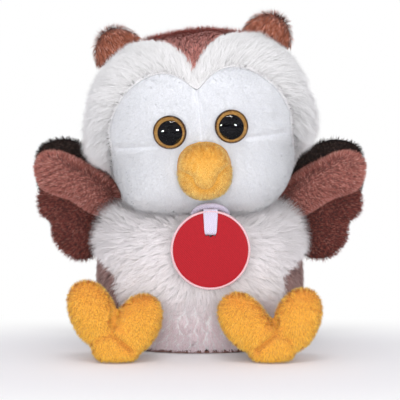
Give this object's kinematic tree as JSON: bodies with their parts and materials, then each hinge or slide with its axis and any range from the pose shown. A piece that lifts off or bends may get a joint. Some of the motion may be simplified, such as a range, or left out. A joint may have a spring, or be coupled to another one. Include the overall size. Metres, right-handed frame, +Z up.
{
  "type": "interactive plush pet",
  "caption": "Sitting plush owl with flapping wings, a turning head, domed eyes, soft two-toed feet and a round swing tag.",
  "frame": {"origin": "on the flat base plate in the seat, on the centre line, where the toy rests", "axes": "+Z up, -Y out of the face, +X to the viewer's right when the face is seen"},
  "size_m": [0.1492, 0.0984, 0.1491],
  "materials": {
    "white_pile": "long white pile plush",
    "face_pile": "short white pile plush",
    "belly_pile": "medium white pile plush",
    "brown_pile": "short brown pile plush",
    "ear_pile": "combed brown pile plush",
    "wing_light": "short brown pile plush",
    "wing_dark": "dark brown pile plush",
    "wing_black": "black pile plush",
    "yellow_pile": "short yellow pile plush",
    "orange_pile": "velvety orange-yellow pile",
    "stuffing": "polyester fibre filling",
    "seat_cloth": "woven brown cloth",
    "case_plastic": "moulded plastic",
    "dark_plastic": "moulded dark plastic",
    "gear_plastic": "moulded gear plastic",
    "steel": "bright steel",
    "brass": "turned brass",
    "cell_wrap": "plain printed wrap",
    "board_green": "solder mask",
    "cone_paper": "coated paper cone",
    "eye_amber": "painted amber and black",
    "eye_clear": "clear domed plastic",
    "tag_red": "red embroidered face on white card",
    "ribbon": "white woven ribbon"
  },
  "bodies": {
    "torso": {"belly_plush": "belly_pile", "back_plush": "brown_pile", "seat_fabric": "seat_cloth", "torso_stuffing": "stuffing", "case_lower": "case_plastic", "case_upper": "case_plastic", "case_screws": "steel", "gear_deck": "case_plastic", "wing_motor": "steel", "head_motor": "steel", "batteries": "cell_wrap", "battery_contacts": "steel", "circuit_board": "board_green", "speaker_frame": "dark_plastic", "speaker_cone": "cone_paper", "gear_pins": "steel", "press_switch": "dark_plastic", "power_switch": "dark_plastic", "tag_ribbon": "ribbon"},
    "wing_left": {"wing_shaft_left": "gear_plastic", "wing_arm_left": "gear_plastic", "wing_back_left": "wing_black", "wing_upper_left": "wing_light", "wing_lower_left": "wing_dark"},
    "idler_left": {"idler_gear_left": "gear_plastic"},
    "foot_left": {"foot_left": "orange_pile"},
    "wing_right": {"wing_shaft_right": "gear_plastic", "wing_arm_right": "gear_plastic", "wing_back_right": "wing_black", "wing_upper_right": "wing_light", "wing_lower_right": "wing_dark"},
    "idler_right": {"idler_gear_right": "gear_plastic"},
    "foot_right": {"foot_right": "orange_pile"},
    "reduction": {"reduction_gear": "gear_plastic"},
    "wing_pinion": {"wing_pinion": "brass"},
    "head_pinion": {"head_pinion": "brass"},
    "head": {"neck_shaft": "gear_plastic", "head_gear": "gear_plastic", "neck_plate": "gear_plastic", "head_stuffing": "stuffing", "head_ruff": "white_pile", "face_panel": "face_pile", "head_back": "brown_pile", "ear_left": "ear_pile", "ear_right": "ear_pile", "eye_disc_left": "eye_amber", "eye_disc_right": "eye_amber", "eye_lens_left": "eye_clear", "eye_lens_right": "eye_clear", "eye_washers": "case_plastic", "beak_upper": "yellow_pile", "beak_lower": "yellow_pile"},
    "press_pad": {"press_pad": "case_plastic"},
    "power_slider": {"power_slider": "dark_plastic"},
    "battery_door": {"battery_door": "case_plastic", "door_screw": "steel"},
    "tag": {"tag_card": "tag_red"}
  },
  "joints": [
    {"name": "head_turn", "type": "hinge", "parent": "torso", "child": "head", "pos_m": [0, 0.004, 0.06], "axis": [0, 0, 1], "range_deg": [-25, 25]},
    {"name": "head_pinion_spin", "type": "hinge", "parent": "torso", "child": "head_pinion", "pos_m": [0.00625, 0.01482, 0.048], "axis": [0, 0, 1], "range_deg": [-101, 101]},
    {"name": "wing_right_swing", "type": "hinge", "parent": "torso", "child": "wing_right", "pos_m": [0.018, 0.008, 0.048], "axis": [0, 0, 1], "range_deg": [-12, 20]},
    {"name": "wing_left_swing", "type": "hinge", "parent": "torso", "child": "wing_left", "pos_m": [-0.018, 0.008, 0.048], "axis": [0, 0, 1], "range_deg": [-20.5, 12.5]},
    {"name": "idler_right_spin", "type": "hinge", "parent": "torso", "child": "idler_right", "pos_m": [0.006, 0.008, 0.019], "axis": [0, 0, 1], "range_deg": [-20.5, 12.5]},
    {"name": "idler_left_spin", "type": "hinge", "parent": "torso", "child": "idler_left", "pos_m": [-0.006, 0.008, 0.019], "axis": [0, 0, 1], "range_deg": [-12.5, 20.5]},
    {"name": "reduction_spin", "type": "hinge", "parent": "torso", "child": "reduction", "pos_m": [0.006, 0.017, 0.02], "axis": [0, 0, 1], "range_deg": [-25, 41]},
    {"name": "wing_pinion_spin", "type": "hinge", "parent": "torso", "child": "wing_pinion", "pos_m": [-0.0045, 0.017, 0.024], "axis": [0, 0, 1], "range_deg": [-129, 78]},
    {"name": "foot_left_flex", "type": "hinge", "parent": "torso", "child": "foot_left", "pos_m": [-0.0355, -0.02813, 0.01], "axis": [1, 0, 0], "range_deg": [-8, 15]},
    {"name": "foot_right_flex", "type": "hinge", "parent": "torso", "child": "foot_right", "pos_m": [0.0305, -0.03152, 0.01], "axis": [1, 0, 0], "range_deg": [-8, 15]},
    {"name": "tag_swing", "type": "hinge", "parent": "torso", "child": "tag", "pos_m": [0.0045, -0.0402, 0.053], "axis": [-1, 0, 0], "range_deg": [0, 40]},
    {"name": "press_pad_travel", "type": "slide", "parent": "torso", "child": "press_pad", "axis": [0, 1, 0], "range_m": [0, 0.0015], "stiffness_N_per_m": 400, "springref_m": -0.0005},
    {"name": "power_slide", "type": "slide", "parent": "torso", "child": "power_slider", "axis": [1, 0, 0], "range_m": [0, 0.004]},
    {"name": "battery_door_lift", "type": "slide", "parent": "torso", "child": "battery_door", "axis": [0, 0, -1], "range_m": [0, 0.02]}
  ],
  "couplings": [
    {"joint": "head_pinion_spin", "follows": "head_turn", "ratio": -4},
    {"joint": "wing_left_swing", "follows": "wing_right_swing", "ratio": -1},
    {"joint": "idler_right_spin", "follows": "wing_right_swing", "ratio": -1},
    {"joint": "idler_left_spin", "follows": "wing_right_swing", "ratio": 1},
    {"joint": "reduction_spin", "follows": "wing_right_swing", "ratio": 2},
    {"joint": "wing_pinion_spin", "follows": "wing_right_swing", "ratio": -6.4}
  ]
}
